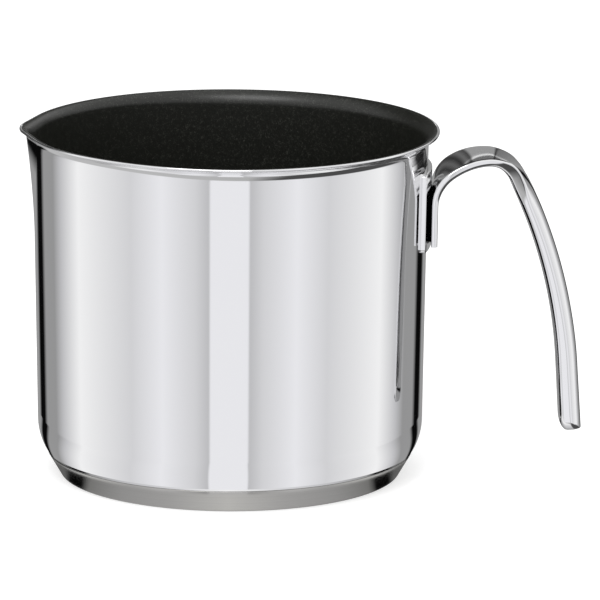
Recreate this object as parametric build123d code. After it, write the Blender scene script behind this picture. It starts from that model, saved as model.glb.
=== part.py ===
from build123d import *

import math
import os

os.makedirs("parts", exist_ok=True)

# A milk pan: a deep pressed pan with a pouring spout, a dark non-stick lining, a thick base
# and one flat handle that bends over and hangs down beside the pan.
# Millimetres and degrees. The origin is the middle of the face that rests on the table,
# +Z is up, the handle is at +X and the spout at -X.

# Pressed pan: heights and radii are of the outer skin, leans are away from upright
pan_sheet = 0.9
wall_foot_radius = 69.6
wall_foot_height = 20.1
wall_top_height = 120.0
wall_lean = 0.85
corner_radius = 21.15
heel_radius = 4.0

# Flared rim: how far outside and above the top of the wall the lower edge of its cut end lies
lip_reach = 3.97
lip_rise = 5.35
lip_lean = 87.0

# Pouring spout: a channel pressed out of the wall, and the lip drawn in on both sides of it
spout_reach = 0.9
spout_rise = 0.3
spout_tip_radius = 27.0
lip_draw_in = 1.3
full_draw_angle = 45.0
draw_end_angle = 98.0
channel_depth = 2.1
channel_radius = 8.0
channel_height = 38.0
spout_edge_angle = 18.0

# Non-stick lining
lining_thickness = 0.15
bare_lip_width = 0.85

# Base: a core disc held in a shallow steel cup, whose foot lies inside the foot of the wall
cup_sheet = 0.8
core_thickness = 5.8
cup_foot_inset = 8.4
cup_side_lean = 30.3
cup_rim_rise = 1.6
cup_gap = 0.25
cup_edge_radius = 1.0

# Plate that carries the handle, hung below the top of the wall
plate_width = 36.0
plate_height = 28.7
plate_thickness = 1.5
plate_drop = 6.9
plate_corner_radius = 2.0

# Handle: the line through the middle of its thickness, from its end above the plate's foot.
# It leans with the wall, bends out to the first angle from upright, levels off, and turns down.
strap_end_rise = 2.1
strap_root_length = 14.8
strap_seat_depth = 0.4
lower_bend_radius = 13.7
lower_bend_angle = 54.45
rise_radius = 23.4
shoulder_radius = 11.4
shoulder_angle = 63.1
leg_radius = 177.9
neck_end_angle = 4.65
leg_angle = 18.7
leg_end_height = 16.2

# Handle: its section, a flat strap that becomes a leg with a crowned outer face
strap_width = 34.5
leg_width = 12.0
strap_thickness = 2.6
leg_thickness = 8.15
strap_outer_edge_radius = 0.5
strap_inner_edge_radius = 1.4
leg_outer_edge_radius = 2.4
leg_inner_edge_radius = 1.8
strap_outer_crown = 0.3
strap_inner_crown = 0.05
leg_outer_crown = 1.8
leg_inner_crown = 0.4

# Handle: the roundings of its lower end
tip_side_radius = 3.7
tip_inner_width = 3.0
tip_inner_height = 6.4
tip_outer_radius = 0.6

# How far a cutting shape runs past what it cuts, the plain disc in the middle of each pressed
# layer that its sections start from, and how closely joined faces meet
overrun = 1.0
middle_radius = 5.0
join_tolerance = 0.001

# Stations of the handle's section, evenly spaced over the neck and over the leg: how far the
# width, the thickness and the edges have gone from the strap's to the leg's
neck_shares = (
    (0.0, 0.0, 0.0), (0.01, 0.05, 0.0), (0.03, 0.09, 0.0), (0.065, 0.09, 0.0), (0.145, 0.09, 0.0),
    (0.265, 0.09, 0.0), (0.395, 0.1, 0.0), (0.52, 0.16, 0.03), (0.69, 0.43, 0.12),
    (0.83, 0.62, 0.4), (0.945, 0.73, 0.62), (0.99, 0.76, 0.9), (1.0, 0.78, 1.0),
)
leg_shares = ((1.0, 0.78, 1.0), (1.0, 0.83, 1.0), (1.0, 0.89, 1.0), (1.0, 0.97, 1.0))
end_shares = ((1.0, 0.97, 1.0), (1.0, 1.0, 1.0))

# How the upright sections of the pan are spread: steps over the spout, which has as many on its
# other side, and shares of the way from the spout's edge to where the drawing in ends
spout_steps = 6
flank_shares = (0.0, 0.15, 0.3, 0.46, 0.65, 0.82, 1.0)

# The channel begins this share of its height up, or lower nearer its middle
longest_start_share = 0.85


def sine(degrees):
    return math.sin(math.radians(degrees))


def cosine(degrees):
    return math.cos(math.radians(degrees))


def tangent(degrees):
    return math.tan(math.radians(degrees))


def mix(first, last, share):
    return first + (last - first) * share


base_top = cup_sheet + core_thickness
cup_foot_radius = wall_foot_radius - cup_foot_inset
cup_rim_height = base_top + cup_rim_rise
plate_top = wall_top_height - plate_drop
plate_bottom = plate_top - plate_height


def wall_radius(height):
    """Outer radius of the plain tapered wall."""
    return wall_foot_radius + (height - wall_foot_height) * tangent(wall_lean)


def pushed_radius(angle, radius, push, tip_radius):
    """Radius at an angle of a circle that is pushed out to a rounded point with straight flanks."""
    tip_centre = radius + push - tip_radius
    flank_angle = math.degrees(math.acos((radius - tip_radius) / tip_centre))
    tip_angle = math.degrees(math.atan2(tip_radius * sine(flank_angle),
                                        tip_centre + tip_radius * cosine(flank_angle)))
    if angle >= flank_angle:
        return radius
    if angle >= tip_angle:
        return radius / cosine(flank_angle - angle)
    return tip_centre * cosine(angle) + math.sqrt(tip_radius**2 - (tip_centre * sine(angle))**2)


def draw_share(angle):
    """How much of the lip's drawing in is reached at an angle from the spout."""
    along = (angle - full_draw_angle) / (draw_end_angle - full_draw_angle)
    return 0.5 + 0.5 * math.cos(math.pi * min(max(along, 0.0), 1.0))


def skin_point(point, lean, inset):
    """A point of the outer skin moved square into the sheet, where the skin has this lean."""
    return (point[0] - inset * cosine(lean), point[1] + inset * sine(lean))


def hollow_arc(centre, radius, first_lean, last_lean):
    """Arc of the skin between two leans, about a centre outside the pan."""
    leans = (first_lean, (first_lean + last_lean) / 2, last_lean)
    return ThreePointArc(*[skin_point(centre, lean, radius) for lean in leans])


def full_arc(centre, radius, first_lean, last_lean):
    """Arc of the skin between two leans, about a centre inside the pan."""
    leans = (first_lean, (first_lean + last_lean) / 2, last_lean)
    return ThreePointArc(*[skin_point(centre, lean, -radius) for lean in leans])


def upper_skin(angle, inset, stop_short):
    """Edges of the top of the wall and the flare in one upright plane, up to the lip."""
    top_radius = wall_radius(wall_top_height)
    push = pushed_radius(angle, top_radius, channel_depth, channel_radius) - top_radius
    start_share = longest_start_share
    if push > 0:
        needed_push = (top_radius - channel_radius) * (1 / cosine(angle) - 1)
        start_share = min(math.sqrt(needed_push / channel_depth), longest_start_share)
    start_height = wall_top_height - channel_height * (1 - start_share)
    start = (wall_radius(start_height), start_height)
    top = (top_radius + push, wall_top_height)
    run = (wall_top_height - start_height) / cosine(wall_lean) + push * sine(wall_lean)
    aside = push * cosine(wall_lean)
    top_lean = wall_lean + 2 * math.degrees(math.atan2(aside, run))

    # The straight part above the channel's bend and the flare's radius follow from the lip's place
    drawn_radius = top_radius + lip_reach - lip_draw_in * draw_share(angle)
    reach = pushed_radius(angle, drawn_radius, spout_reach + lip_draw_in, spout_tip_radius) - top[0]
    rise = lip_rise + spout_rise * draw_share(angle)
    across = cosine(top_lean) - cosine(lip_lean)
    up = sine(lip_lean) - sine(top_lean)
    spread = sine(top_lean) * up - cosine(top_lean) * across
    straight = (reach * up - rise * across) / spread
    flare_radius = (rise * sine(top_lean) - reach * cosine(top_lean)) / spread
    flare = (top[0] + straight * sine(top_lean), top[1] + straight * cosine(top_lean))
    flare_centre = skin_point(flare, top_lean, -flare_radius)
    last_lean = lip_lean - math.degrees(stop_short / (flare_radius + pan_sheet))

    bend_start = skin_point(start, wall_lean, inset)
    bend_end = skin_point(top, top_lean, inset)
    bend = Line(bend_start, bend_end)
    if push > 0:
        bend_radius = (run**2 + aside**2) / (2 * aside)
        bend_centre = skin_point(start, wall_lean, -bend_radius)
        bend = hollow_arc(bend_centre, bend_radius + inset, wall_lean, top_lean)
    flare_skin = hollow_arc(flare_centre, flare_radius + inset, top_lean, last_lean)
    return [bend, Line(bend_end, flare_skin @ 0), flare_skin]


def lower_skin(inset, first_radius):
    """Edges of the flat bottom, the heel and the corner, from a radius outwards and up."""
    corner_centre = skin_point((wall_foot_radius, wall_foot_height), wall_lean, corner_radius)
    heel_height = base_top + heel_radius
    centre_distance = corner_radius - heel_radius
    heel_lean = math.degrees(math.asin((corner_centre[1] - heel_height) / centre_distance))
    heel_centre = skin_point(corner_centre, heel_lean, -centre_distance)
    heel = full_arc(heel_centre, heel_radius - inset, 90, heel_lean)
    corner = full_arc(corner_centre, corner_radius - inset, heel_lean, wall_lean)
    return [Line((first_radius, base_top + inset), heel @ 0), heel, corner]


def whole_skin(angle, inset, stop_short):
    """Edges of one skin of the pan in one upright plane, from its middle disc out to the lip."""
    lower = lower_skin(inset, middle_radius)
    upper = upper_skin(angle, inset, stop_short)
    return [*lower, Line(lower[-1] @ 1, upper[0] @ 0), *upper]


def area_between(outer_edges, inner_edges):
    """Face between two chains of edges that run the same way."""
    start = Line(inner_edges[0] @ 0, outer_edges[0] @ 0)
    end = Line(outer_edges[-1] @ 1, inner_edges[-1] @ 1)
    return make_face([*outer_edges, end, *inner_edges, start])


def turned(area):
    """Solid turned from an area drawn with radius across and height up."""
    return revolve(Plane.XZ * area, Axis.Z)


def pressed_layer(outer_inset, inner_inset, stop_short=0.0):
    """One layer of the pan: turned on the handle's side, lofted round the spout."""
    def section(angle):
        heading = 180 + angle
        outwards = Vector(cosine(heading), sine(heading), 0)
        upright = Plane(origin=(0, 0, 0), x_dir=outwards, z_dir=outwards.cross(Vector(0, 0, 1)))
        return upright * area_between(whole_skin(abs(angle), outer_inset, stop_short),
                                      whole_skin(abs(angle), inner_inset, stop_short))

    spout_angles = [spout_edge_angle * step / spout_steps for step in range(-spout_steps, spout_steps + 1)]
    flank_angles = [mix(spout_edge_angle, draw_end_angle, share) for share in flank_shares]
    spout = loft([section(angle) for angle in spout_angles])
    near_flank = loft([section(angle) for angle in flank_angles])
    far_flank = mirror(near_flank, Plane.XZ)
    handle_side = revolve(section(draw_end_angle), Axis.Z, 2 * (180 - draw_end_angle))
    middle = Pos(0, 0, base_top + outer_inset) * Cylinder(
        middle_radius, inner_inset - outer_inset, align=(Align.CENTER, Align.CENTER, Align.MIN))
    others = [piece.solid() for piece in (spout, near_flank, far_flank, middle)]
    return handle_side.solid().fuse(*others, tol=join_tolerance)


def make_pan_body():
    return pressed_layer(0, pan_sheet)


def make_nonstick_lining():
    return pressed_layer(pan_sheet, pan_sheet + lining_thickness, bare_lip_width)


def cup_side_radius(height, inset):
    """Radius of the base cup's side, moved into its sheet by inset."""
    return cup_foot_radius + height * tangent(cup_side_lean) - inset / cosine(cup_side_lean)


def make_base_core():
    """Disc that fills the cup up to the underside of the pan."""
    floor_edge = (cup_side_radius(cup_sheet, cup_sheet), cup_sheet)
    outline = Polyline((0, cup_sheet), floor_edge, (cup_side_radius(base_top, cup_sheet), base_top),
                       (0, base_top), close=True)
    area = make_face(outline)
    corner = area.vertices().sort_by_distance(floor_edge)[0]
    return turned(fillet(corner, cup_edge_radius - cup_sheet))


def make_base_cup():
    """Shallow steel cup round the core, its rim cut to follow the pan's heel."""
    floor_edge = (cup_side_radius(cup_sheet, cup_sheet), cup_sheet)
    outline = Polyline((0, 0), (cup_foot_radius, 0),
                       (cup_side_radius(cup_rim_height, 0), cup_rim_height),
                       (cup_side_radius(cup_rim_height, cup_sheet), cup_rim_height),
                       floor_edge, (0, cup_sheet), close=True)
    pan_skin = lower_skin(-cup_gap, 0)
    axis_top = (0, (pan_skin[-1] @ 1).Y)
    pan_area = make_face([*pan_skin, Line(pan_skin[-1] @ 1, axis_top), Line(axis_top, pan_skin[0] @ 0)])
    area = make_face(outline) - pan_area
    outer_corner = area.vertices().sort_by_distance((cup_foot_radius, 0))[0]
    area = fillet(outer_corner, cup_edge_radius)
    inner_corner = area.vertices().sort_by_distance(floor_edge)[0]
    return turned(fillet(inner_corner, cup_edge_radius - cup_sheet))


def plate_skin(height, inset):
    """Radius of the wall, or of the handle plate's outer face, at a height."""
    return wall_radius(height) + inset / cosine(wall_lean)


def make_handle_plate():
    """Plate bent to hug the wall."""
    low = plate_bottom - overrun
    high = plate_top + overrun
    band_area = make_face(Polyline((plate_skin(low, 0), low), (plate_skin(low, plate_thickness), low),
                                   (plate_skin(high, plate_thickness), high), (plate_skin(high, 0), high),
                                   close=True))
    outline = RectangleRounded(plate_width, plate_top - plate_bottom, plate_corner_radius)
    upright = Plane(origin=(0, 0, (plate_bottom + plate_top) / 2), x_dir=(0, 1, 0), z_dir=(1, 0, 0))
    return turned(band_area) & extrude(upright * outline, plate_skin(high, plate_thickness))


def handle_stretches():
    """Middle line of the handle: the strap's root, the bent neck, the leg and its straight end."""
    root_height = plate_bottom + strap_end_rise
    root_x = plate_skin(root_height, plate_thickness) - strap_seat_depth + strap_thickness / 2
    root = PolarLine((root_x, root_height), strap_root_length, 90 - wall_lean)
    lower_bend = JernArc(root @ 1, root % 1, lower_bend_radius, wall_lean - lower_bend_angle)
    rise = JernArc(lower_bend @ 1, lower_bend % 1, rise_radius, lower_bend_angle - 90)
    shoulder = JernArc(rise @ 1, rise % 1, shoulder_radius, -shoulder_angle)
    neck_end = JernArc(shoulder @ 1, shoulder % 1, leg_radius, -neck_end_angle)
    leg = JernArc(neck_end @ 1, neck_end % 1, leg_radius, -leg_angle)
    heading = leg % 1
    end = Line(leg @ 1, leg @ 1 + heading * ((leg_end_height - (leg @ 1).Y) / heading.Y))
    return root, Wire([lower_bend, rise, shoulder, neck_end]), leg, end


def handle_section(width, thickness, edge_share):
    """Bar section with rounded edges and crowned faces; its outer face is at +Y."""
    def half_edges(edge_radius, crown, side):
        corner = (width / 2 - edge_radius, thickness / 2 - edge_radius - crown)
        crown_radius = (corner[0]**2 + (edge_radius + crown)**2 - edge_radius**2) / (2 * crown)
        crown_centre = thickness / 2 - crown_radius
        edge_turn = math.degrees(math.atan2(corner[1] - crown_centre, corner[0]))

        def corner_point(angle, end):
            return (end * (corner[0] + edge_radius * cosine(angle)),
                    side * (corner[1] + edge_radius * sine(angle)))

        first, last = [[corner_point(angle, end) for angle in (0, edge_turn / 2, edge_turn)]
                       for end in (side, -side)]
        return [ThreePointArc(*first), ThreePointArc(first[-1], (0, side * thickness / 2), last[-1]),
                ThreePointArc(*reversed(last))]

    outer = half_edges(mix(strap_outer_edge_radius, leg_outer_edge_radius, edge_share),
                       mix(strap_outer_crown, leg_outer_crown, edge_share), 1)
    inner = half_edges(mix(strap_inner_edge_radius, leg_inner_edge_radius, edge_share),
                       mix(strap_inner_crown, leg_inner_crown, edge_share), -1)
    return make_face([*outer, Line(outer[-1] @ 1, inner[0] @ 0), *inner, Line(inner[-1] @ 1, outer[0] @ 0)])


def rounding_waste(edge, across, up):
    """Area to cut away below an elliptic rounding of the corner between a right edge and the bottom."""
    arc = EllipticalCenterArc((edge - across, up), across, up, 270, arc_size=90)
    outside = Polyline(arc @ 1, (edge + overrun, up), (edge + overrun, -overrun),
                       (edge - across, -overrun), arc @ 0)
    return make_face([arc, outside])


def make_handle():
    """Strap and leg in one piece, cut to seat on the plate and rounded at its free end."""
    strap_shares = (neck_shares[0], neck_shares[0])
    bar = []
    for stretch, station_shares in zip(handle_stretches(), (strap_shares, neck_shares, leg_shares, end_shares)):
        middle_line = Plane.XZ * stretch
        sections = []
        for station, (width_share, thickness_share, edge_share) in enumerate(station_shares):
            along = station / (len(station_shares) - 1)
            square = Plane(origin=middle_line @ along, x_dir=(0, 1, 0), z_dir=middle_line % along)
            sections.append(square * handle_section(mix(strap_width, leg_width, width_share),
                                                    mix(strap_thickness, leg_thickness, thickness_share),
                                                    edge_share))
        bar.append(loft(sections).solid())
    bar = bar[0].fuse(*bar[1:], tol=join_tolerance)

    low = plate_bottom - overrun
    high = plate_top + overrun
    seat = turned(make_face(Polyline((0, low), (plate_skin(low, plate_thickness), low),
                                     (plate_skin(high, plate_thickness), high), (0, high), close=True)))

    # From the front the width lies across, from the side the thickness does, the leg runs upwards
    tip = square.origin
    front = Plane(origin=tip, x_dir=(0, 1, 0), z_dir=square.y_dir)
    side = Plane(origin=tip, x_dir=square.y_dir, z_dir=(0, -1, 0))
    side_corner = rounding_waste(leg_width / 2, tip_side_radius, tip_side_radius)
    side_waste = extrude(front * (side_corner + mirror(side_corner, Plane.YZ)), leg_thickness, both=True)
    inner_corner = mirror(rounding_waste(leg_thickness / 2, tip_inner_width, tip_inner_height), Plane.YZ)
    outer_corner = rounding_waste(leg_thickness / 2, tip_outer_radius, tip_outer_radius)
    end_waste = extrude(side * (inner_corner + outer_corner), leg_width, both=True)
    return bar - seat - side_waste - end_waste


pieces = {
    "pan_body": make_pan_body,
    "nonstick_lining": make_nonstick_lining,
    "base_core": make_base_core,
    "base_cup": make_base_cup,
    "handle_plate": make_handle_plate,
    "handle": make_handle,
}
for name, make_piece in pieces.items():
    export_step(make_piece(), "parts/" + name + ".step")
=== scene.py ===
import math

import bmesh
import bpy
from mathutils import Matrix, Vector


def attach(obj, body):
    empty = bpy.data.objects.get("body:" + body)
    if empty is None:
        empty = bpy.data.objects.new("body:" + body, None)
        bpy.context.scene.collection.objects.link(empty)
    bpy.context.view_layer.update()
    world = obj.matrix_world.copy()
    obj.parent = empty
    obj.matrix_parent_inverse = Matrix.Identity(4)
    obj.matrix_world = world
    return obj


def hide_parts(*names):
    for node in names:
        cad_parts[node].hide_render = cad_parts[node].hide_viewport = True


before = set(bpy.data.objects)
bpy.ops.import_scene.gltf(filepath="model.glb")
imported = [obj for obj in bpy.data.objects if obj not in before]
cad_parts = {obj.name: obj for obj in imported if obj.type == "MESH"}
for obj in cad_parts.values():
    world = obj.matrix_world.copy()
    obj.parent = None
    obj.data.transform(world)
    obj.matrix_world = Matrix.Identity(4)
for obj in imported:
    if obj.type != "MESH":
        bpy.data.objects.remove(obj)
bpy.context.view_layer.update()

# Looks of a milk pan: polished steel, a dark non-stick lining, a satin base and a bent handle.
# Metres and degrees, in the frame of the solids: the handle is at +X, the spout at -X.
# The sizes are those of the solids.

# Pressed pan: heights and radii are of the outer skin, leans are away from upright
pan_sheet = 0.0009
wall_foot_radius = 0.0696
wall_foot_height = 0.0201
wall_top_height = 0.12
wall_lean = 0.85
corner_radius = 0.02115
heel_radius = 0.004

# Flared rim: how far outside and above the top of the wall the lower edge of its cut end lies, and
# how far the cut end is rounded over
lip_reach = 0.00397
lip_rise = 0.00535
lip_lean = 87.0
lip_edge_radius = 0.0003

# Pouring spout: a channel pressed out of the wall, and the lip drawn in on both sides of it
spout_reach = 0.0009
spout_rise = 0.0003
spout_tip_radius = 0.027
lip_draw_in = 0.0013
full_draw_angle = 45.0
draw_end_angle = 98.0
channel_depth = 0.0021
channel_radius = 0.008
channel_height = 0.038
longest_start_share = 0.85

# Non-stick lining
lining_thickness = 0.00015
bare_lip_width = 0.00085

# Base: a core disc held in a shallow steel cup, whose foot lies inside the foot of the wall
cup_sheet = 0.0008
core_thickness = 0.0058
cup_foot_inset = 0.0084
cup_side_lean = 30.3
cup_gap = 0.00025
cup_edge_radius = 0.001
cup_rim_edge_radius = 0.00015

# Plate that carries the handle, hung below the top of the wall
plate_width = 0.036
plate_height = 0.0287
plate_thickness = 0.0015
plate_drop = 0.0069
plate_corner_radius = 0.002
plate_edge_radius = 0.00025

# Handle: the line through the middle of its thickness, from its end above the plate's foot.
# It leans with the wall, bends out to the first angle from upright, levels off, and turns down.
strap_end_rise = 0.0021
strap_root_length = 0.0148
strap_seat_depth = 0.0004
lower_bend_radius = 0.0137
lower_bend_angle = 54.45
rise_radius = 0.0234
shoulder_radius = 0.0114
shoulder_angle = 63.1
leg_radius = 0.1779
neck_end_angle = 4.65
leg_angle = 18.7
leg_end_height = 0.0162

# Handle: its section, a flat strap that becomes a leg with a crowned outer face
strap_width = 0.0345
leg_width = 0.012
strap_thickness = 0.0026
leg_thickness = 0.00815
strap_outer_edge_radius = 0.0005
strap_inner_edge_radius = 0.0014
leg_outer_edge_radius = 0.0024
leg_inner_edge_radius = 0.0018
strap_outer_crown = 0.0003
strap_inner_crown = 0.00005
leg_outer_crown = 0.0018
leg_inner_crown = 0.0004

# Handle: the roundings of its lower end
tip_side_radius = 0.0037
tip_inner_width = 0.003
tip_inner_height = 0.0064
tip_outer_radius = 0.0006

# How far the width, the thickness and the edges have gone from the strap's to the leg's, at even
# stations along the neck and along the leg
neck_shares = (
    (0.0, 0.0, 0.0), (0.01, 0.05, 0.0), (0.03, 0.09, 0.0), (0.065, 0.09, 0.0), (0.145, 0.09, 0.0),
    (0.265, 0.09, 0.0), (0.395, 0.1, 0.0), (0.52, 0.16, 0.03), (0.69, 0.43, 0.12),
    (0.83, 0.62, 0.4), (0.945, 0.73, 0.62), (0.99, 0.76, 0.9), (1.0, 0.78, 1.0),
)
leg_shares = ((1.0, 0.78, 1.0), (1.0, 0.83, 1.0), (1.0, 0.89, 1.0), (1.0, 0.97, 1.0))
end_shares = ((1.0, 0.97, 1.0), (1.0, 1.0, 1.0))

# Steps along the handle: its root, one for so many degrees of the neck, its leg and its straight end
root_steps = 8
neck_step_angle = 2.5
fewest_bend_steps = 4
leg_steps = 30
end_steps = 40

# Steps over each rounded edge of the handle's section and across each face between them
section_edge_steps = 8
section_face_steps = 16

# Steps of the pan's outline, from the middle of its bottom up to the flare, and round its cut edge
bottom_steps = 8
heel_steps = 6
corner_steps = 22
wall_steps = 10
channel_steps = 14
straight_steps = 2
flare_steps = 16
lip_edge_steps = 5

# Columns of the pressed pan stand closer at the spout, by this share, than on the average
pan_columns = 320
spout_crowding_share = 0.4

# Steps round the base cup and along its outline
cup_columns = 256
cup_foot_steps = 8
cup_side_steps = 4

# Strips of the bent plate, and steps of its rounded corners and edges
plate_strips = 40
plate_corner_steps = 8
plate_edge_steps = 4

# Points nearer than this are one, cuts are exact to this, and edges sharper than this stay sharp
merge_distance = 1e-7
cut_tolerance = 1e-8
sharp_angle = 35.0

base_top = cup_sheet + core_thickness
cup_foot_radius = wall_foot_radius - cup_foot_inset
plate_top = wall_top_height - plate_drop
plate_bottom = plate_top - plate_height


def sine(degrees):
    return math.sin(math.radians(degrees))


def cosine(degrees):
    return math.cos(math.radians(degrees))


def mix(first, last, share):
    return first + (last - first) * share


def spread(first, last, steps):
    """Evenly spaced values from the first to the last, both included."""
    return [mix(first, last, step / steps) for step in range(steps + 1)]


# Outline of the pan


def wall_radius(height):
    return wall_foot_radius + (height - wall_foot_height) * math.tan(math.radians(wall_lean))


def pushed_radius(angle, radius, push, tip_radius):
    """Radius at an angle of a circle that is pushed out to a rounded point with straight flanks."""
    tip_centre = radius + push - tip_radius
    flank_angle = math.degrees(math.acos((radius - tip_radius) / tip_centre))
    tip_angle = math.degrees(math.atan2(tip_radius * sine(flank_angle),
                                        tip_centre + tip_radius * cosine(flank_angle)))
    if angle >= flank_angle:
        return radius
    if angle >= tip_angle:
        return radius / cosine(flank_angle - angle)
    return tip_centre * cosine(angle) + math.sqrt(tip_radius**2 - (tip_centre * sine(angle))**2)


def draw_share(angle):
    """How much of the lip's drawing in is reached at an angle from the spout."""
    along = (angle - full_draw_angle) / (draw_end_angle - full_draw_angle)
    return 0.5 + 0.5 * math.cos(math.pi * min(max(along, 0.0), 1.0))


def skin_point(point, lean, inset):
    """A point of the outer skin moved square into the sheet, where the skin has this lean."""
    return (point[0] - inset * cosine(lean), point[1] + inset * sine(lean))


def arc_points(centre, radius, first_lean, last_lean, steps):
    """Points of a skin's arc; the radius is below zero about a centre inside the pan."""
    return [skin_point(centre, lean, radius) for lean in spread(first_lean, last_lean, steps)]


def line_points(start, end, steps):
    return [(mix(start[0], end[0], share), mix(start[1], end[1], share)) for share in spread(0, 1, steps)]


def lower_skin(inset):
    """Points of the flat bottom, the heel and the corner, from the middle outwards and up."""
    corner_centre = skin_point((wall_foot_radius, wall_foot_height), wall_lean, corner_radius)
    centre_distance = corner_radius - heel_radius
    heel_lean = math.degrees(math.asin((corner_centre[1] - base_top - heel_radius) / centre_distance))
    heel_centre = skin_point(corner_centre, heel_lean, -centre_distance)
    heel = arc_points(heel_centre, inset - heel_radius, 90, heel_lean, heel_steps)
    corner = arc_points(corner_centre, inset - corner_radius, heel_lean, wall_lean, corner_steps)
    return line_points((0, heel[0][1]), heel[0], bottom_steps) + heel[1:] + corner[1:]


def upper_skin(angle, inset, stop_short):
    """Points of the top of the wall and the flare in one upright plane, and the lean they end with."""
    top_radius = wall_radius(wall_top_height)
    push = pushed_radius(angle, top_radius, channel_depth, channel_radius) - top_radius
    start_share = longest_start_share
    if push > 0:
        needed_push = (top_radius - channel_radius) * (1 / cosine(angle) - 1)
        start_share = min(math.sqrt(needed_push / channel_depth), longest_start_share)
    start_height = wall_top_height - channel_height * (1 - start_share)
    start = (wall_radius(start_height), start_height)
    top = (top_radius + push, wall_top_height)
    run = (wall_top_height - start_height) / cosine(wall_lean) + push * sine(wall_lean)
    aside = push * cosine(wall_lean)
    top_lean = wall_lean + 2 * math.degrees(math.atan2(aside, run))

    # The straight part above the channel's bend and the flare's radius follow from the lip's place
    drawn_radius = top_radius + lip_reach - lip_draw_in * draw_share(angle)
    reach = pushed_radius(angle, drawn_radius, spout_reach + lip_draw_in, spout_tip_radius) - top[0]
    rise = lip_rise + spout_rise * draw_share(angle)
    across = cosine(top_lean) - cosine(lip_lean)
    up = sine(lip_lean) - sine(top_lean)
    spread_out = sine(top_lean) * up - cosine(top_lean) * across
    straight = (reach * up - rise * across) / spread_out
    flare_radius = (rise * sine(top_lean) - reach * cosine(top_lean)) / spread_out
    flare = (top[0] + straight * sine(top_lean), top[1] + straight * cosine(top_lean))
    flare_centre = skin_point(flare, top_lean, -flare_radius)
    last_lean = lip_lean - math.degrees(stop_short / (flare_radius + pan_sheet))

    if push > 0:
        bend_radius = (run**2 + aside**2) / (2 * aside)
        bend_centre = skin_point(start, wall_lean, -bend_radius)
        bend = arc_points(bend_centre, bend_radius + inset, wall_lean, top_lean, channel_steps)
    else:
        bend = line_points(skin_point(start, wall_lean, inset), skin_point(top, wall_lean, inset),
                           channel_steps)
    flare_skin = arc_points(flare_centre, flare_radius + inset, top_lean, last_lean, flare_steps)
    below_flare = line_points(bend[-1], flare_skin[0], straight_steps)
    return bend + below_flare[1:] + flare_skin[1:], last_lean


def whole_skin(angle, inset, stop_short):
    """Points of a layer from the middle of the bottom to its end in the flare, and its last lean."""
    lower = lower_skin(inset)
    upper, last_lean = upper_skin(angle, inset, stop_short)
    return lower + line_points(lower[-1], upper[0], wall_steps)[1:] + upper[1:], last_lean


def corner_points(centre, radius, first_angle, last_angle, steps):
    """Points of a rounded corner of an outline, by the angle from straight outwards."""
    return [(centre[0] + radius * cosine(angle), centre[1] + radius * sine(angle))
            for angle in spread(first_angle, last_angle, steps)]


def body_outline(angle):
    """Closed outline of the steel sheet in one upright plane, its cut end rounded over."""
    outer, lean = whole_skin(angle, 0, lip_edge_radius)
    inner, lean = whole_skin(angle, pan_sheet, lip_edge_radius)
    lower_centre = skin_point(outer[-1], lean, lip_edge_radius)
    upper_centre = skin_point(outer[-1], lean, pan_sheet - lip_edge_radius)
    lower_round = corner_points(lower_centre, lip_edge_radius, -lean, 90 - lean, lip_edge_steps)
    upper_round = corner_points(upper_centre, lip_edge_radius, 90 - lean, 180 - lean, lip_edge_steps)
    return outer[:-1] + lower_round + upper_round + inner[-2::-1]


def lining_outline(angle):
    """Closed outline of the coating in one upright plane."""
    outer = whole_skin(angle, pan_sheet, bare_lip_width)[0]
    inner = whole_skin(angle, pan_sheet + lining_thickness, bare_lip_width)[0]
    return outer + inner[::-1]


# Making of the pieces


def placed_mesh(name, bm, material):
    """Turns a finished bmesh into an object of the scene."""
    mesh = bpy.data.meshes.new(name)
    bm.to_mesh(mesh)
    bm.free()
    mesh.materials.append(material)
    item = bpy.data.objects.new(name, mesh)
    bpy.context.scene.collection.objects.link(item)
    return item


def make_piece(name, bm, material, node):
    """Turns a finished bmesh into a smooth piece that stands for a solid and rides with the pan."""
    bmesh.ops.recalc_face_normals(bm, faces=bm.faces)
    piece = placed_mesh(name, bm, material)
    piece.data.shade_smooth()
    piece.data.set_sharp_from_angle(angle=math.radians(sharp_angle))
    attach(piece, "root")
    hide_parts(node)


def spun_outline(outline, steps):
    """Turns a closed outline, radius across and height up, full circle about the pan's axis."""
    bm = bmesh.new()
    place = bm.verts.layers.int.new("place")
    ring = [bm.verts.new((radius, 0, height)) for radius, height in outline]
    for number, vertex in enumerate(ring):
        vertex[place] = number
    loops = [bm.edges.new((vertex, ring[number - 1])) for number, vertex in enumerate(ring)
             if number or ring[0].co.x]
    bmesh.ops.spin(bm, geom=ring + loops, cent=(0, 0, 0), axis=(0, 0, 1), angle=2 * math.pi,
                   steps=steps, use_merge=True)
    return bm


def pressed_piece(outline_at):
    """A layer of the pan: a turned outline whose columns then take the spout's shape."""
    bm = spun_outline(outline_at(180), pan_columns)
    place = bm.verts.layers.int["place"]
    outlines = {}
    for vertex in bm.verts:
        turn = math.atan2(-vertex.co.y, -vertex.co.x)
        turn -= spout_crowding_share * math.sin(turn)
        # The points of one column share a turn but for rounding, and so share one outline
        column = round(turn * pan_columns * pan_columns)
        if column not in outlines:
            outlines[column] = outline_at(abs(math.degrees(turn)))
        radius, height = outlines[column][vertex[place]]
        vertex.co = (-radius * math.cos(turn), -radius * math.sin(turn), height)
    bmesh.ops.remove_doubles(bm, verts=bm.verts, dist=merge_distance)
    return bm


def cup_side_radius(height, inset):
    return cup_foot_radius + height * math.tan(math.radians(cup_side_lean)) - inset / cosine(cup_side_lean)


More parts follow.
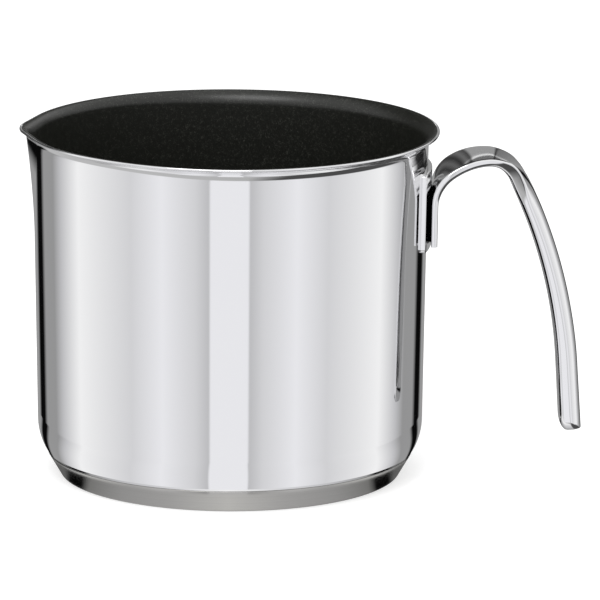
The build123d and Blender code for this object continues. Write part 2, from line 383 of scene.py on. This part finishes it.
def cup_outline():
    """Outline of the shallow steel cup under the pan, its rim cut to follow the pan's heel."""
    foot_turn = 90 - cup_side_lean
    foot_back = cup_edge_radius * math.tan(math.radians(foot_turn / 2))
    foot_centre = (cup_foot_radius - foot_back, cup_edge_radius)
    inner_radius = cup_edge_radius - cup_sheet
    outside = corner_points(foot_centre, cup_edge_radius, -90, -cup_side_lean, cup_foot_steps)
    inside = corner_points(foot_centre, inner_radius, -cup_side_lean, -90, cup_side_steps)
    pan_skin = lower_skin(-cup_gap)
    rim_out = next(point for point in pan_skin if point[0] > cup_side_radius(point[1], 0))
    rim_in = next(point for point in pan_skin if point[0] > cup_side_radius(point[1], cup_sheet))
    rim_top = (cup_side_radius(rim_out[1], 0), rim_out[1])
    rim_round = skin_point(rim_top, cup_side_lean, cup_rim_edge_radius)
    return [(0, 0), *outside, *line_points(outside[-1], rim_top, cup_side_steps)[1:-1],
            *corner_points(rim_round, cup_rim_edge_radius, -cup_side_lean, 90 - cup_side_lean,
                           cup_side_steps),
            (cup_side_radius(rim_in[1], cup_sheet), rim_in[1]), *inside, (0, cup_sheet)]


def plate_skin(height, inset):
    """Radius of the wall, or of a layer of the handle plate, at a height."""
    return wall_radius(height) + inset / cosine(wall_lean)


def plate_mesh():
    """Rounded plate, cut into upright strips and bent to hug the wall."""
    bm = bmesh.new()
    middle = (plate_bottom + plate_top) / 2
    bmesh.ops.create_grid(bm, x_segments=1, y_segments=1, size=0.5)
    bmesh.ops.scale(bm, vec=(plate_top - plate_bottom, plate_width, 1), verts=bm.verts)
    bmesh.ops.bevel(bm, geom=list(bm.verts), offset=plate_corner_radius * math.sqrt(2) / 2,
                    affect="VERTICES", segments=plate_corner_steps, profile=0.5, material=-1)
    raised = bmesh.ops.extrude_face_region(bm, geom=list(bm.faces))["geom"]
    top_vertices = [item for item in raised if isinstance(item, bmesh.types.BMVert)]
    bmesh.ops.translate(bm, vec=(0, 0, plate_thickness), verts=top_vertices)
    top_face = max(bm.faces, key=lambda face: face.calc_center_median().z)
    bmesh.ops.bevel(bm, geom=list(top_face.edges), offset=plate_edge_radius, affect="EDGES",
                    segments=plate_edge_steps, profile=0.5, material=-1)
    for across in spread(-plate_width / 2, plate_width / 2, plate_strips)[1:-1]:
        bmesh.ops.bisect_plane(bm, geom=list(bm.verts) + list(bm.edges) + list(bm.faces),
                               dist=cut_tolerance, plane_co=(0, across, 0), plane_no=(0, 1, 0))
    for vertex in bm.verts:
        height = middle - vertex.co.x
        radius = plate_skin(height, vertex.co.z)
        across = vertex.co.y
        vertex.co = (math.sqrt(radius**2 - across**2), across, height)
    return bm


# Handle


def handle_stations():
    """Places along the handle: x, height, heading, and the three shares of its section."""
    root_height = plate_bottom + strap_end_rise
    root_x = plate_skin(root_height, plate_thickness) - strap_seat_depth + strap_thickness / 2
    heading = 90 - wall_lean
    neck_parts = ((lower_bend_radius, lower_bend_angle - wall_lean), (rise_radius, 90 - lower_bend_angle),
                  (shoulder_radius, shoulder_angle), (leg_radius, neck_end_angle))
    neck_length = sum(math.radians(turn) * radius for radius, turn in neck_parts)
    root = [(root_x + along * cosine(heading), root_height + along * sine(heading))
            for along in spread(0, strap_root_length, root_steps)]
    stations = [(*point, heading, neck_shares[0]) for point in root[:-1]]
    x, height = root[-1]
    travelled = 0.0
    for radius, turn in neck_parts:
        steps = max(fewest_bend_steps, round(turn / neck_step_angle))
        for step in range(steps):
            stations.append((x, height, heading, shares_at(neck_shares, travelled / neck_length)))
            x, height, heading = turned_on(x, height, heading, radius, turn / steps)
            travelled += math.radians(turn / steps) * radius
    for step in range(leg_steps):
        stations.append((x, height, heading, shares_at(leg_shares, step / leg_steps)))
        x, height, heading = turned_on(x, height, heading, leg_radius, leg_angle / leg_steps)
    end_length = (leg_end_height - height) / sine(heading)
    for step in range(end_steps + 1):
        share = math.sin(math.pi / 2 * step / end_steps)
        end_x = x + end_length * share * cosine(heading)
        end_height = height + end_length * share * sine(heading)
        stations.append((end_x, end_height, heading, shares_at(end_shares, share)))
    return stations


def turned_on(x, height, heading, radius, turn):
    """The next place on an arc that turns to the right."""
    centre = (x + radius * sine(heading), height - radius * cosine(heading))
    heading -= turn
    return centre[0] - radius * sine(heading), centre[1] + radius * cosine(heading), heading


def shares_at(table, along):
    """Smooth values between the rows of a table of shares, at a share of its length."""
    place = along * (len(table) - 1)
    row = min(int(place), len(table) - 2)
    part = place - row
    before, first, last, after = [table[min(max(row + step, 0), len(table) - 1)] for step in (-1, 0, 1, 2)]
    return [0.5 * (2 * b + (c - a) * part + (2 * a - 5 * b + 4 * c - d) * part**2
                   + (3 * b - a - 3 * c + d) * part**3) for a, b, c, d in zip(before, first, last, after)]


def half_section(width, thickness, edge_radius, crown, side):
    """Points over one face of the handle's section, edge to edge; side is 1 outside, -1 inside."""
    corner = (width / 2 - edge_radius, thickness / 2 - edge_radius - crown)
    crown_radius = (corner[0]**2 + (edge_radius + crown)**2 - edge_radius**2) / (2 * crown)
    crown_centre = thickness / 2 - crown_radius
    edge_turn = math.degrees(math.atan2(corner[1] - crown_centre, corner[0]))
    edge = corner_points(corner, edge_radius, 0, edge_turn, section_edge_steps)
    face = corner_points((0, crown_centre), crown_radius, edge_turn, 180 - edge_turn,
                         section_face_steps)
    half = edge + face[1:-1] + [(-across, out) for across, out in reversed(edge)]
    return [(side * across, side * out) for across, out in half]


def handle_ring(station, from_end):
    """Points of the handle's section at a station, narrowed where its lower end is rounded."""
    x, height, heading, (width_share, thickness_share, edge_share) = station
    width = mix(strap_width, leg_width, width_share)
    thickness = mix(strap_thickness, leg_thickness, thickness_share)
    outer = half_section(width, thickness, mix(strap_outer_edge_radius, leg_outer_edge_radius, edge_share),
                         mix(strap_outer_crown, leg_outer_crown, edge_share), 1)
    inner = half_section(width, thickness, mix(strap_inner_edge_radius, leg_inner_edge_radius, edge_share),
                         mix(strap_inner_crown, leg_inner_crown, edge_share), -1)
    side_loss = rounding_loss(from_end, tip_side_radius, tip_side_radius)
    inner_loss = rounding_loss(from_end, tip_inner_width, tip_inner_height)
    outer_loss = rounding_loss(from_end, tip_outer_radius, tip_outer_radius)
    ring = []
    for across, out in outer + inner:
        across *= 1 - 2 * side_loss / width
        share = out / thickness + 0.5
        out = mix(inner_loss - thickness / 2, thickness / 2 - outer_loss, share)
        ring.append((x - out * sine(heading), across, height + out * cosine(heading)))
    return ring


def rounding_loss(from_end, across, up):
    """How far an elliptic rounding has come in from the side, near the handle's lower end."""
    if from_end >= up:
        return 0.0
    return across * (1 - math.sqrt(1 - (1 - from_end / up)**2))


def handle_mesh():
    """The section's ring drawn out from the strap's end on the plate to the free lower end."""
    stations = handle_stations()
    bm = bmesh.new()
    place = bm.verts.layers.int.new("place")
    end = Vector((stations[-1][0], stations[-1][1]))
    first_points = handle_ring(stations[0], (Vector(stations[0][:2]) - end).length)
    ring = [bm.verts.new(point) for point in first_points]
    for number, vertex in enumerate(ring):
        vertex[place] = number
    edges = [bm.edges.new((vertex, ring[number - 1])) for number, vertex in enumerate(ring)]
    bmesh.ops.contextual_create(bm, geom=edges)
    for station in stations[1:]:
        points = handle_ring(station, (Vector(station[:2]) - end).length)
        drawn = bmesh.ops.extrude_edge_only(bm, edges=edges)["geom"]
        edges = [item for item in drawn if isinstance(item, bmesh.types.BMEdge)]
        for vertex in drawn:
            if isinstance(vertex, bmesh.types.BMVert):
                vertex.co = points[vertex[place]]
    bmesh.ops.contextual_create(bm, geom=edges)
    return bm


# Materials


def linear(hex_colour):
    """Linear colour with full alpha from an sRGB hex value such as #C8C8C4."""
    channels = [int(hex_colour[start:start + 2], 16) / 255 for start in (1, 3, 5)]
    return [c / 12.92 if c <= 0.04045 else ((c + 0.055) / 1.055)**2.4 for c in channels] + [1.0]


def add_node(tree, kind, inputs=None, **settings):
    """Adds a node: inputs maps a socket to a value or to another node's output."""
    node = tree.nodes.new(kind)
    for name, value in settings.items():
        setattr(node, name, value)
    for socket, value in (inputs or {}).items():
        if isinstance(value, bpy.types.NodeSocket):
            tree.links.new(value, node.inputs[socket])
        else:
            node.inputs[socket].default_value = value
    return node


def new_material(name):
    """A material with an empty shader, its node tree and its Object coordinates."""
    material = bpy.data.materials.new(name)
    material.use_nodes = True
    tree = material.node_tree
    shader = tree.nodes["Principled BSDF"]
    place = add_node(tree, "ShaderNodeTexCoord").outputs["Object"]
    return material, tree, shader, place


def millimetre_scale(spacing):
    """Scale of a pattern whose features are this many millimetres apart."""
    return 1000.0 / spacing


# Buffed steel: its colour, how far apart its lines and its soft haze are in millimetres, how strongly
# the lines show, and the levels of both together where the steel is at its sharpest and its softest
buffed_colour = "#EFEFF0"
buffing_line_spacing = 0.6
buffing_haze_spacing = 30.0
buffing_line_strength = 0.2
sharpest_level = 0.1
softest_level = 0.5


def polished_steel(name, line_stretch, roughness, line_depth):
    """Stainless steel polished on a buffing wheel: a near mirror with faint lines along the stroke,
    which soften each reflection a little along one way. The lines are drawn coarser than the real
    ones, which are too fine to show."""
    material, tree, shader, place = new_material(name)
    lines = add_node(tree, "ShaderNodeMapping", {"Vector": place, "Scale": line_stretch})
    grain = add_node(tree, "ShaderNodeTexNoise", {"Vector": lines.outputs[0],
                                                  "Scale": millimetre_scale(buffing_line_spacing),
                                                  "Detail": 3.0, "Roughness": 0.6})
    haze = add_node(tree, "ShaderNodeTexNoise", {"Vector": place,
                                                 "Scale": millimetre_scale(buffing_haze_spacing),
                                                 "Detail": 2.0})
    level = add_node(tree, "ShaderNodeMath", {0: grain.outputs[0], 1: haze.outputs[0]}, operation="MULTIPLY")
    shine = add_node(tree, "ShaderNodeMapRange", {0: level.outputs[0], 1: sharpest_level, 2: softest_level,
                                                  3: roughness[0], 4: roughness[1]})
    relief = add_node(tree, "ShaderNodeBump", {"Height": grain.outputs[0],
                                               "Strength": buffing_line_strength,
                                               "Distance": line_depth})
    shader.inputs["Base Color"].default_value = linear(buffed_colour)
    shader.inputs["Metallic"].default_value = 1.0
    tree.links.new(shine.outputs[0], shader.inputs["Roughness"])
    tree.links.new(relief.outputs[0], shader.inputs["Normal"])
    return material


# Base cup: its darker and paler tone, the spacing of its turned rings in millimetres, how rough it is
# in its smoothest and roughest rings, and how strong and deep the rings are
base_dark_tone = "#A9A8A5"
base_pale_tone = "#BDBCB9"
base_ring_spacing = 0.35
base_roughness = (0.15, 0.26)
base_ring_strength = 0.25
base_ring_depth = 0.00003


def satin_base_steel():
    """Stainless steel turned and brushed round the base: fine rings, so its shine is soft and dull."""
    material, tree, shader, place = new_material("satin_base_steel")
    flat = add_node(tree, "ShaderNodeVectorMath", {0: place, 1: (1.0, 1.0, 0.0)}, operation="MULTIPLY")
    radius = add_node(tree, "ShaderNodeVectorMath", {0: flat.outputs[0]}, operation="LENGTH")
    height = add_node(tree, "ShaderNodeSeparateXYZ", {0: place}).outputs["Z"]
    rings = add_node(tree, "ShaderNodeCombineXYZ", {0: radius.outputs["Value"], 2: height})
    grain = add_node(tree, "ShaderNodeTexNoise", {"Vector": rings.outputs[0],
                                                  "Scale": millimetre_scale(base_ring_spacing),
                                                  "Detail": 4.0, "Roughness": 0.65})
    tone = add_node(tree, "ShaderNodeMix", {0: grain.outputs[0], 6: linear(base_dark_tone),
                                            7: linear(base_pale_tone)}, data_type="RGBA")
    shine = add_node(tree, "ShaderNodeMapRange", {0: grain.outputs[0], 3: base_roughness[0],
                                                  4: base_roughness[1]})
    relief = add_node(tree, "ShaderNodeBump", {"Height": grain.outputs[0], "Strength": base_ring_strength,
                                               "Distance": base_ring_depth})
    shader.inputs["Metallic"].default_value = 1.0
    tree.links.new(tone.outputs[2], shader.inputs["Base Color"])
    tree.links.new(shine.outputs[0], shader.inputs["Roughness"])
    tree.links.new(relief.outputs[0], shader.inputs["Normal"])
    return material


# Coating: its ground and its specks, how far apart the specks and the changes in their size are, both
# in millimetres, where a speck's soft edge begins and ends, and the orange peel
coating_tone = "#161713"
speck_tone = "#3E3F3A"
speck_spacing = 0.45
speck_size_spacing = 1.2
speck_edge_start = 0.12
speck_edge_end = 0.42
peel_spacing = 0.5
peel_strength = 0.6
peel_depth = 0.00004
coating_roughness = 0.34
coating_refraction = 1.5


def speckled_coating():
    """Sprayed and baked non-stick coating: nearly black, satin, with pale mineral specks and the
    slight orange peel that spraying leaves."""
    material, tree, shader, place = new_material("speckled_coating")
    specks = add_node(tree, "ShaderNodeTexVoronoi", {"Vector": place,
                                                     "Scale": millimetre_scale(speck_spacing)})
    size = add_node(tree, "ShaderNodeTexNoise", {"Vector": place,
                                                 "Scale": millimetre_scale(speck_size_spacing),
                                                 "Detail": 2.0})
    reach = add_node(tree, "ShaderNodeMath", {0: size.outputs[0], 1: specks.outputs["Distance"]},
                     operation="SUBTRACT")
    share = add_node(tree, "ShaderNodeMapRange", {0: reach.outputs[0], 1: speck_edge_start,
                                                  2: speck_edge_end})
    tone = add_node(tree, "ShaderNodeMix", {0: share.outputs[0], 6: linear(coating_tone),
                                            7: linear(speck_tone)}, data_type="RGBA")
    peel = add_node(tree, "ShaderNodeTexNoise", {"Vector": place, "Scale": millimetre_scale(peel_spacing),
                                                 "Detail": 2.0})
    relief = add_node(tree, "ShaderNodeBump", {"Height": peel.outputs[0], "Strength": peel_strength,
                                               "Distance": peel_depth})
    shader.inputs["Roughness"].default_value = coating_roughness
    shader.inputs["IOR"].default_value = coating_refraction
    tree.links.new(tone.outputs[2], shader.inputs["Base Color"])
    tree.links.new(relief.outputs[0], shader.inputs["Normal"])
    return material


# Core: its colour, the spacing of its mottling in millimetres and its least and greatest roughness
core_tone = "#C9CACC"
mottle_spacing = 2.0
core_roughness = (0.35, 0.55)


def pressed_core_aluminium():
    """Aluminium disc pressed between the pan and its cup: dull and faintly mottled."""
    material, tree, shader, place = new_material("pressed_core_aluminium")
    mottle = add_node(tree, "ShaderNodeTexNoise", {"Vector": place,
                                                   "Scale": millimetre_scale(mottle_spacing),
                                                   "Detail": 4.0})
    shine = add_node(tree, "ShaderNodeMapRange", {0: mottle.outputs[0], 3: core_roughness[0],
                                                  4: core_roughness[1]})
    shader.inputs["Base Color"].default_value = linear(core_tone)
    shader.inputs["Metallic"].default_value = 1.0
    tree.links.new(shine.outputs[0], shader.inputs["Roughness"])
    return material


body_steel = polished_steel("buffed_body_steel", line_stretch=(0.03, 0.03, 1.0),
                            roughness=(0.03, 0.06), line_depth=0.000002)
plate_steel = polished_steel("buffed_plate_steel", line_stretch=(1.0, 0.03, 1.0),
                             roughness=(0.04, 0.08), line_depth=0.000002)
handle_steel = polished_steel("buffed_handle_steel", line_stretch=(0.05, 1.0, 0.05),
                              roughness=(0.04, 0.09), line_depth=0.000003)
base_steel = satin_base_steel()
coating = speckled_coating()

make_piece("polished_body", pressed_piece(body_outline), body_steel, "pan_body")
make_piece("speckled_lining", pressed_piece(lining_outline), coating, "nonstick_lining")
cup = spun_outline(cup_outline(), cup_columns)
bmesh.ops.remove_doubles(cup, verts=cup.verts, dist=merge_distance)
make_piece("satin_base_cup", cup, base_steel, "base_cup")
make_piece("bent_plate", plate_mesh(), plate_steel, "handle_plate")
make_piece("polished_handle", handle_mesh(), handle_steel, "handle")

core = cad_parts["base_core"]
core.data.materials.clear()
core.data.materials.append(pressed_core_aluminium())


# Studio: the plain shades of its boards
black_flag = "#0A0A0A"
dark_wall = "#707070"
grey_wall = "#9C9C9C"
pale_edge = "#C8C8CA"
soft_white = "#DEDEE0"
cool_white = "#F6F6F9"
full_white = "#FFFFFF"

# Boards round the pan, alike on both sides of the camera, by the angle from it: a white panel in the
# middle, a large soft light beside it, the grey wall, and a narrow black flag that draws the pan's edge
studio_boards = (
    (0, cool_white), (11, cool_white), (12, pale_edge), (20, soft_white), (40, cool_white),
    (60, soft_white), (100, full_white), (118, pale_edge), (127, grey_wall), (141, grey_wall),
    (146, black_flag), (155, black_flag), (160, grey_wall), (180, grey_wall),
)

# The table right at the base, which the cup mirrors, with the base's shadow painted on it: a painted shade,
# brightest in front and darker to each side, with a flag at each side
painted_foot_shades = (
    (0, full_white), (20, soft_white), (40, pale_edge), (57, grey_wall), (62, black_flag),
    (72, black_flag), (78, dark_wall), (90, dark_wall),
)

# The room behind the pan, by height in degrees, which the strap of the handle mirrors
room_shades = (
    (-10, "#9C9C9C"), (12.8, "#9C9C9C"), (13.2, "#FFFFFF"), (13.8, "#F4F4F4"), (14.3, "#505050"),
    (16.0, "#7A7A7A"), (18.0, "#3A3A3A"), (24.0, "#6A6A6A"), (30.0, "#2A2A2A"), (42.0, "#3C3C3C"),
    (50.0, "#FFFFFF"), (90.0, "#FFFFFF"),
)

# How much of that room's light is left, by hundredths of the way to either side
side_shades = (
    (-50, "#9A9A9A"), (-27, "#808080"), (-24, "#BEBEBE"), (-21, "#505050"), (-18, "#A8A8A8"),
    (-15, "#484848"), (-12, "#B4B4B4"), (-9, "#6E6E6E"), (-7.5, "#FFFFFF"), (8, "#FFFFFF"),
    (9.5, "#505050"), (11, "#C4C4C4"), (20, "#E0E0E0"), (50, "#FFFFFF"),
)

# The lower studio, by hundredths of the way to either side: pale at the spout, and dark at the handle, a
# painted shade that the handle's underside mirrors
lower_shades = ((-100, "#C4C4C4"), (-30, "#C0C0C0"), (15, "#BABABA"), (45, "#4E4E4E"), (100, "#4E4E4E"))

# Units of the tables above
degree = math.radians(1)
hundredth = 0.01

# Where the lower studio begins and where it is full, in degrees below level
lower_studio_top = 20.0
lower_studio_full = 25.0

# Where the white ceiling begins and where it is full, in degrees above level
ceiling_foot = 10.0
ceiling_full = 16.0

# Where the room behind begins, in degrees above level. It fades in away from the camera and ends
# towards the handle's side, by shares of the way there.
room_foot = -7.0
room_near_edge = 0.1
room_near_full = 0.5
room_side_edge = 0.36
room_side_full = 0.24

# Light on all that is no mirror
plain_light = "#F4F4F4"

# The ring round the pan's foot: its inner and outer radius, how far below the foot it lies, how far
# out the painted shade of the base reaches on it, and the steps round it
plinth_hole_radius = 0.0613
plinth_radius = 0.13
plinth_drop = 0.001
foot_shade_radius = 0.0687
plinth_steps = 96

# The shades on the ring fan out with distance as if they came from a circle of this radius
fan_radius = 0.031

# How far round the wall carries on the fan, at the axis and less for each metre away from it
bend_at_axis = 0.92
bend_loss = 2.6

# The dark card between the wall and the leg, a painted shade of that gap which the leg's inner edge
# mirrors: how far out it stands, how wide and high it is, and its middle across and up
gap_card_x = 0.088
gap_card_width = 0.023
gap_card_height = 0.078
gap_card_middle = (-0.0125, 0.05)

# Floor: half its width, how far it lies below the foot, its shade and its own light
floor_half_width = 2.0
floor_drop = 0.0001
floor_shade = "#D6D6D6"
floor_glow = 0.55

# Lamp: its width, its power in watts and its place
lamp_size = 1.2
lamp_power = 12.0
lamp_place = (-0.3, -0.95, 1.5)

# Camera: where the photograph was taken from, its tilt down and its slight roll
camera_place = Vector((0.02513, -2.40241, 0.60253))
camera_tilt = 12.652
camera_roll = 0.3126
camera_lens = 409.05
camera_sensor = 36.0
camera_reach = 20.0


def shade_ramp(tree, value, shades, unit):
    """Shades from a table, whose places are in this unit, laid out along a value."""
    first = shades[0][0]
    last = shades[-1][0]
    share = add_node(tree, "ShaderNodeMapRange", {0: value, 1: first * unit, 2: last * unit})
    ramp = add_node(tree, "ShaderNodeValToRGB", {0: share.outputs[0]})
    stops = ramp.color_ramp.elements
    for place, shade in shades[1:-1]:
        stops.new((place - first) / (last - first))
    for stop, (place, shade) in zip(stops, shades):
        stop.color = linear(shade)
    return ramp.outputs[0]


def both_sides(tree, turn, boards):
    """Shades that stand alike on both sides of the camera, by the turn from it."""
    aside = add_node(tree, "ShaderNodeMath", {0: turn}, operation="ABSOLUTE")
    return shade_ramp(tree, aside.outputs[0], boards, degree)


def turn_from_camera(tree, parts):
    """The turn round the pan's axis, from the side of the camera."""
    near = add_node(tree, "ShaderNodeMath", {0: parts["Y"], 1: -1.0}, operation="MULTIPLY")
    turn = add_node(tree, "ShaderNodeMath", {0: parts["X"], 1: near.outputs[0]}, operation="ARCTAN2")
    return turn.outputs[0]


def make_world():
    """White to the camera, boards round the pan to the steel, and plain soft light to the rest."""
    world = bpy.data.worlds.new("studio")
    bpy.context.scene.world = world
    world.use_nodes = True
    tree = world.node_tree
    tree.nodes.clear()
    direction = add_node(tree, "ShaderNodeTexCoord").outputs["Generated"]
    parts = add_node(tree, "ShaderNodeSeparateXYZ", {0: direction}).outputs
    level = add_node(tree, "ShaderNodeMath", {0: parts["Z"]}, operation="ARCSINE").outputs[0]

    boards = both_sides(tree, turn_from_camera(tree, parts), studio_boards)
    # Dark towards the handle: painted shade for the handle's underside to mirror
    lower = shade_ramp(tree, parts["X"], lower_shades, hundredth)
    lower_share = add_node(tree, "ShaderNodeMapRange", {0: level, 1: -lower_studio_top * degree,
                                                        2: -lower_studio_full * degree})
    with_lower = add_node(tree, "ShaderNodeMix", {0: lower_share.outputs[0], 6: boards, 7: lower},
                          data_type="RGBA")
    ceiling_share = add_node(tree, "ShaderNodeMapRange", {0: level, 1: ceiling_foot * degree,
                                                          2: ceiling_full * degree})
    with_ceiling = add_node(tree, "ShaderNodeMix", {0: ceiling_share.outputs[0], 6: with_lower.outputs[2],
                                                    7: linear(full_white)}, data_type="RGBA")

    room = shade_ramp(tree, level, room_shades, degree)
    sides = shade_ramp(tree, parts["X"], side_shades, hundredth)
    streaked = add_node(tree, "ShaderNodeMix", {0: 1.0, 6: room, 7: sides}, data_type="RGBA",
                        blend_type="MULTIPLY")
    behind = add_node(tree, "ShaderNodeMapRange", {0: parts["Y"], 1: room_near_edge, 2: room_near_full})
    above = add_node(tree, "ShaderNodeMath", {0: parts["Z"], 1: sine(room_foot)}, operation="GREATER_THAN")
    beside = add_node(tree, "ShaderNodeMapRange", {0: parts["X"], 1: room_side_edge, 2: room_side_full})
    back = add_node(tree, "ShaderNodeMath", {0: behind.outputs[0], 1: above.outputs[0]}, operation="MULTIPLY")
    room_share = add_node(tree, "ShaderNodeMath", {0: back.outputs[0], 1: beside.outputs[0]},
                          operation="MULTIPLY")
    with_room = add_node(tree, "ShaderNodeMix", {0: room_share.outputs[0], 6: with_ceiling.outputs[2],
                                                 7: streaked.outputs[2]}, data_type="RGBA")

    rays = add_node(tree, "ShaderNodeLightPath").outputs
    mirrored = add_node(tree, "ShaderNodeMath", {0: rays["Is Glossy Ray"], 1: rays["Is Transmission Ray"]},
                        operation="MAXIMUM")
    lit = add_node(tree, "ShaderNodeMix", {0: mirrored.outputs[0], 6: linear(plain_light),
                                           7: with_room.outputs[2]}, data_type="RGBA")
    seen = add_node(tree, "ShaderNodeMix", {0: rays["Is Camera Ray"], 6: lit.outputs[2],
                                            7: linear(full_white)}, data_type="RGBA")
    background = add_node(tree, "ShaderNodeBackground", {"Color": seen.outputs[2], "Strength": 1.0})
    add_node(tree, "ShaderNodeOutputWorld", {"Surface": background.outputs[0]})


def show_front(tree, front):
    """Ends an emptied material with a shader for its front, and leaves its back clear."""
    clear = add_node(tree, "ShaderNodeBsdfTransparent")
    side = add_node(tree, "ShaderNodeNewGeometry").outputs["Backfacing"]
    whole = add_node(tree, "ShaderNodeMixShader", {0: side, 1: front.outputs[0], 2: clear.outputs[0]})
    add_node(tree, "ShaderNodeOutputMaterial", {"Surface": whole.outputs[0]})


def make_card(name, bm, colour_of):
    """A studio card that only reflections show, and only from its front; colour_of adds its shades."""
    material = bpy.data.materials.new(name + "_board")
    material.use_nodes = True
    tree = material.node_tree
    tree.nodes.clear()
    place = add_node(tree, "ShaderNodeTexCoord").outputs["Object"]
    parts = add_node(tree, "ShaderNodeSeparateXYZ", {0: place}).outputs
    show_front(tree, add_node(tree, "ShaderNodeEmission", {0: colour_of(tree, parts)}))
    card = placed_mesh(name, bm, material)
    for ray in ("camera", "diffuse", "transmission", "volume_scatter", "shadow"):
        setattr(card, "visible_" + ray, False)


def plinth_shades(tree, parts):
    """The boards' shades carried on over the level ring, and the painted shade of the base close to it."""
    turn = turn_from_camera(tree, parts)
    across = add_node(tree, "ShaderNodeMath", {0: parts["X"], 1: 2.0}, operation="POWER")
    along = add_node(tree, "ShaderNodeMath", {0: parts["Y"], 1: 2.0}, operation="POWER")
    squared = add_node(tree, "ShaderNodeMath", {0: across.outputs[0], 1: along.outputs[0]})
    radius = add_node(tree, "ShaderNodeMath", {0: squared.outputs[0]}, operation="SQRT").outputs[0]
    part = add_node(tree, "ShaderNodeMath", {0: fan_radius, 1: radius}, operation="DIVIDE")
    rest = add_node(tree, "ShaderNodeMath", {0: 1.0, 1: part.outputs[0]}, operation="SUBTRACT")
    fanned = add_node(tree, "ShaderNodeMath", {0: turn, 1: rest.outputs[0]}, operation="DIVIDE")
    half = add_node(tree, "ShaderNodeMath", {0: fanned.outputs[0], 1: 0.5}, operation="MULTIPLY")
    half_sine = add_node(tree, "ShaderNodeMath", {0: half.outputs[0]}, operation="SINE")
    bend = add_node(tree, "ShaderNodeMath", {0: radius, 1: -bend_loss, 2: bend_at_axis},
                    operation="MULTIPLY_ADD")
    bent = add_node(tree, "ShaderNodeMath", {0: half_sine.outputs[0], 1: bend.outputs[0]},
                    operation="MULTIPLY")
    extra = add_node(tree, "ShaderNodeMath", {0: bent.outputs[0]}, operation="ARCSINE")
    carried_on = add_node(tree, "ShaderNodeMath", {0: turn, 1: extra.outputs[0]})
    boards = both_sides(tree, carried_on.outputs[0], studio_boards)
    # Painted shade of the base on the ring close to its foot, which the cup mirrors
    shade_at_foot = both_sides(tree, turn, painted_foot_shades)
    at_foot = add_node(tree, "ShaderNodeMath", {0: radius, 1: foot_shade_radius}, operation="LESS_THAN")
    return add_node(tree, "ShaderNodeMix", {0: at_foot.outputs[0], 6: boards, 7: shade_at_foot},
                    data_type="RGBA").outputs[2]


def make_plinth():
    """Ring round the pan's foot, which carries the boards' shades on to the base, and a painted shade of the
    base close to its foot.
    """
    bm = bmesh.new()
    ends = [bm.verts.new((radius, 0, -plinth_drop)) for radius in (plinth_hole_radius, plinth_radius)]
    bmesh.ops.spin(bm, geom=[*ends, bm.edges.new(ends)], cent=(0, 0, 0), axis=(0, 0, 1),
                   angle=2 * math.pi, steps=plinth_steps, use_merge=True)
    for face in bm.faces:
        face.normal_update()
        if face.normal.z < 0:
            face.normal_flip()
    make_card("plinth", bm, plinth_shades)


def make_gap_shade_card():
    """Dark card in the gap between the wall and the leg, a painted shade of that gap which the leg's inner
    edge mirrors.
    """
    bm = bmesh.new()
    bmesh.ops.create_grid(bm, x_segments=1, y_segments=1, size=0.5)
    bmesh.ops.scale(bm, vec=(gap_card_height, gap_card_width, 1), verts=bm.verts)
    bmesh.ops.rotate(bm, cent=(0, 0, 0), matrix=Matrix.Rotation(math.pi / 2, 3, "Y"), verts=bm.verts)
    bmesh.ops.translate(bm, vec=(gap_card_x, *gap_card_middle), verts=bm.verts)
    # Painted shade: a black card that stands in for the shade in the gap
    make_card("gap_shade_card", bm, lambda tree, parts: linear(black_flag))


def make_floor():
    """Pale floor: white to the camera but for the pan's soft shadow, and open from below."""
    bm = bmesh.new()
    bmesh.ops.create_grid(bm, x_segments=1, y_segments=1, size=floor_half_width)
    bmesh.ops.translate(bm, vec=(0, 0, -floor_drop), verts=bm.verts)
    material = bpy.data.materials.new("pale_floor")
    material.use_nodes = True
    tree = material.node_tree
    tree.nodes.clear()
    lit = add_node(tree, "ShaderNodeBsdfDiffuse", {"Color": linear(floor_shade)})
    glow = add_node(tree, "ShaderNodeEmission", {"Color": linear(full_white), "Strength": floor_glow})
    both = add_node(tree, "ShaderNodeAddShader", {0: lit.outputs[0], 1: glow.outputs[0]})
    rays = add_node(tree, "ShaderNodeLightPath").outputs
    seen = add_node(tree, "ShaderNodeMixShader", {0: rays["Is Camera Ray"], 1: lit.outputs[0],
                                                  2: both.outputs[0]})
    show_front(tree, seen)
    floor = placed_mesh("floor", bm, material)
    floor.visible_glossy = False


def make_light():
    """One large soft lamp above and in front, which lights the lining's curve and rounded edges."""
    data = bpy.data.lights.new("soft_lamp", "AREA")
    data.shape = "DISK"
    data.size = lamp_size
    data.energy = lamp_power
    lamp = bpy.data.objects.new("soft_lamp", data)
    bpy.context.scene.collection.objects.link(lamp)
    lamp.location = lamp_place
    lamp.rotation_mode = "QUATERNION"
    lamp.rotation_quaternion = lamp.location.to_track_quat("Z", "Y")


def make_camera():
    """The camera of the photograph."""
    data = bpy.data.cameras.new("camera")
    data.sensor_width = camera_sensor
    data.lens = camera_lens
    data.clip_end = camera_reach
    camera = bpy.data.objects.new("camera", data)
    bpy.context.scene.collection.objects.link(camera)
    roll = Matrix.Rotation(camera_roll * degree, 4, "Z")
    tilt = Matrix.Rotation((90 - camera_tilt) * degree, 4, "X")
    camera.matrix_world = Matrix.Translation(camera_place) @ tilt @ roll
    bpy.context.scene.camera = camera


make_world()
make_floor()
make_plinth()
make_gap_shade_card()
make_light()
make_camera()
bpy.context.scene.view_settings.view_transform = "Standard"
